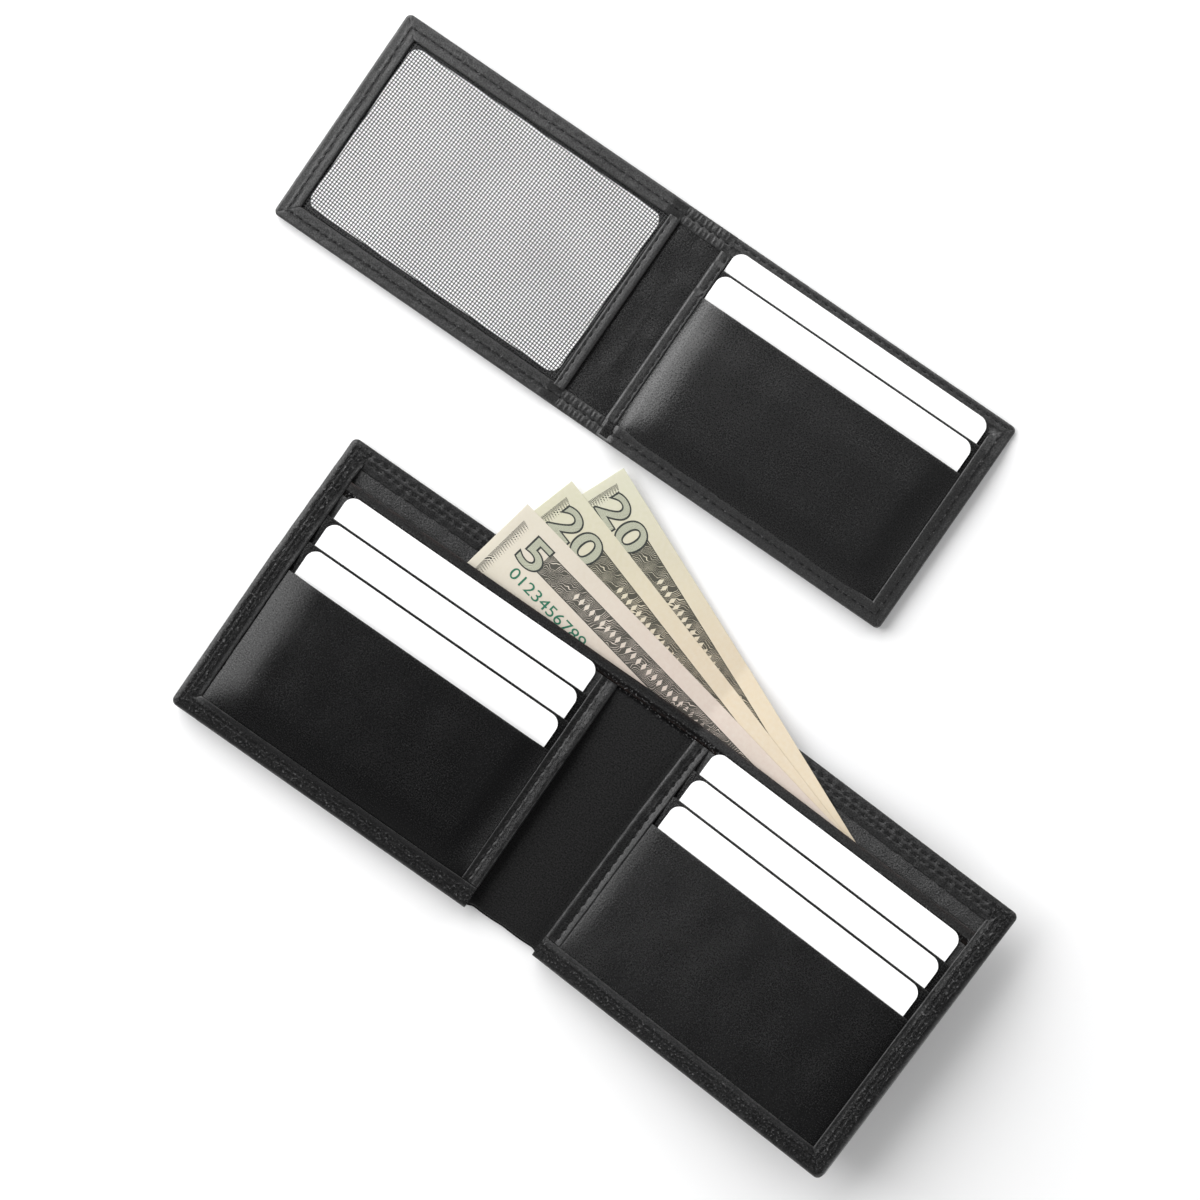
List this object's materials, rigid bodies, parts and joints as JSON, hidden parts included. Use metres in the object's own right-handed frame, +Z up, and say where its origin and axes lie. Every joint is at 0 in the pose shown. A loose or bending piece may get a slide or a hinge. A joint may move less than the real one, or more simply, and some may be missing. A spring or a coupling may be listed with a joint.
{
  "type": "bifold wallet",
  "caption": "Open leather bifold wallet with card slots in both halves, a full-length bill compartment and a separate folding pass case with a mesh window.",
  "frame": {"origin": "middle of the left half's outer face, which is the face the open wallet rests on", "axes": "+X along the open wallet from its left half to its right half, +Y towards the open edge of the bill compartment, +Z up, out of the card slots"},
  "size_m": [0.2836, 0.2017, 0.023],
  "materials": {
    "wallet_leather": "black smooth full-grain leather, semi-matt",
    "pass_leather": "black smooth leather, slightly worn, semi-matt",
    "lining_leather": "thin black split leather lining, matt",
    "window_mesh": "fine black woven nylon mesh",
    "thread": "black twisted polyester thread",
    "card_plastic": "blank white card, satin",
    "note_paper": "printed cotton paper, cream with grey-green print"
  },
  "bodies": {
    "left_half": {"cover_left": "wallet_leather", "back_wall_hem_left": "wallet_leather", "bill_lining_left": "lining_leather", "divider_left": "wallet_leather", "divider_hem_left": "wallet_leather", "panel_backing_left": "wallet_leather", "turned_edge_left": "wallet_leather", "binding_left": "wallet_leather", "stitching_left": "thread", "pocket_rear_left": "wallet_leather", "pocket_middle_left": "wallet_leather", "pocket_front_left": "wallet_leather", "notes_left": "note_paper"},
    "spine": {"cover_spine": "wallet_leather", "back_wall_hem_spine": "wallet_leather", "bill_lining_spine": "lining_leather", "divider_spine": "wallet_leather", "divider_hem_spine": "wallet_leather", "stitching_spine": "thread", "notes_spine": "note_paper"},
    "right_half": {"cover_right": "wallet_leather", "back_wall_hem_right": "wallet_leather", "bill_lining_right": "lining_leather", "divider_right": "wallet_leather", "divider_hem_right": "wallet_leather", "panel_backing_right": "wallet_leather", "turned_edge_right": "wallet_leather", "binding_right": "wallet_leather", "stitching_right": "thread", "pocket_rear_right": "wallet_leather", "pocket_middle_right": "wallet_leather", "pocket_front_right": "wallet_leather", "notes_right": "note_paper"},
    "rear_card_left": {"card_rear_left": "card_plastic"},
    "middle_card_left": {"card_middle_left": "card_plastic"},
    "front_card_left": {"card_front_left": "card_plastic"},
    "rear_card_right": {"card_rear_right": "card_plastic"},
    "middle_card_right": {"card_middle_right": "card_plastic"},
    "front_card_right": {"card_front_right": "card_plastic"},
    "pass_window_half": {"pass_cover_left": "pass_leather", "pass_backing_left": "pass_leather", "pass_edge_left": "pass_leather", "pass_window_mesh": "window_mesh", "pass_mesh_hem": "pass_leather", "pass_stitching_left": "thread"},
    "pass_spine": {"pass_cover_spine": "pass_leather", "pass_lining_spine": "lining_leather", "pass_edge_spine": "pass_leather"},
    "pass_slot_half": {"pass_cover_right": "pass_leather", "pass_backing_right": "pass_leather", "pass_edge_right": "pass_leather", "pass_binding_right": "pass_leather", "pass_stitching_right": "thread", "pass_pocket_rear": "pass_leather", "pass_pocket_front": "pass_leather"},
    "id_card": {"pass_card_id": "card_plastic"},
    "pass_rear_card": {"pass_card_rear": "card_plastic"},
    "pass_front_card": {"pass_card_front": "card_plastic"}
  },
  "joints": [
    {"name": "crease_left", "type": "hinge", "parent": "left_half", "child": "spine", "pos_m": [0.05085, 0, 0.00305], "axis": [0, -1, 0], "range_deg": [0, 93]},
    {"name": "crease_right", "type": "hinge", "parent": "spine", "child": "right_half", "pos_m": [0.07524, 0, 0.00305], "axis": [-0.0349, -0.9994, 0], "range_deg": [-8.5, 84.5]},
    {"name": "rear_card_left_slide", "type": "slide", "parent": "left_half", "child": "rear_card_left", "axis": [0, 1, 0], "range_m": [0, 0.045]},
    {"name": "middle_card_left_slide", "type": "slide", "parent": "left_half", "child": "middle_card_left", "axis": [0, 1, 0], "range_m": [0, 0.045]},
    {"name": "front_card_left_slide", "type": "slide", "parent": "left_half", "child": "front_card_left", "axis": [0, 1, 0], "range_m": [0, 0.045]},
    {"name": "rear_card_right_slide", "type": "slide", "parent": "right_half", "child": "rear_card_right", "axis": [0.0349, 0.9994, 0], "range_m": [0, 0.045]},
    {"name": "middle_card_right_slide", "type": "slide", "parent": "right_half", "child": "middle_card_right", "axis": [0.0349, 0.9994, 0], "range_m": [0, 0.045]},
    {"name": "front_card_right_slide", "type": "slide", "parent": "right_half", "child": "front_card_right", "axis": [0.0349, 0.9994, 0], "range_m": [0, 0.045]},
    {"name": "pass_case_slide", "type": "slide", "parent": "left_half", "child": "pass_window_half", "axis": [0, 1, 0], "range_m": [0, 0.06]},
    {"name": "pass_crease_left", "type": "hinge", "parent": "pass_window_half", "child": "pass_spine", "pos_m": [-0.00895, 0.11859, 0.0018], "axis": [0, -1, 0], "range_deg": [0, 92]},
    {"name": "pass_crease_right", "type": "hinge", "parent": "pass_spine", "child": "pass_slot_half", "pos_m": [0.00445, 0.11859, 0.0018], "axis": [0, -1, 0], "range_deg": [0, 92]},
    {"name": "id_card_slide", "type": "slide", "parent": "pass_window_half", "child": "id_card", "axis": [1, 0, 0], "range_m": [0, 0.005]},
    {"name": "pass_rear_card_slide", "type": "slide", "parent": "pass_slot_half", "child": "pass_rear_card", "axis": [0, 1, 0], "range_m": [0, 0.045]},
    {"name": "pass_front_card_slide", "type": "slide", "parent": "pass_slot_half", "child": "pass_front_card", "axis": [0, 1, 0], "range_m": [0, 0.045]}
  ]
}
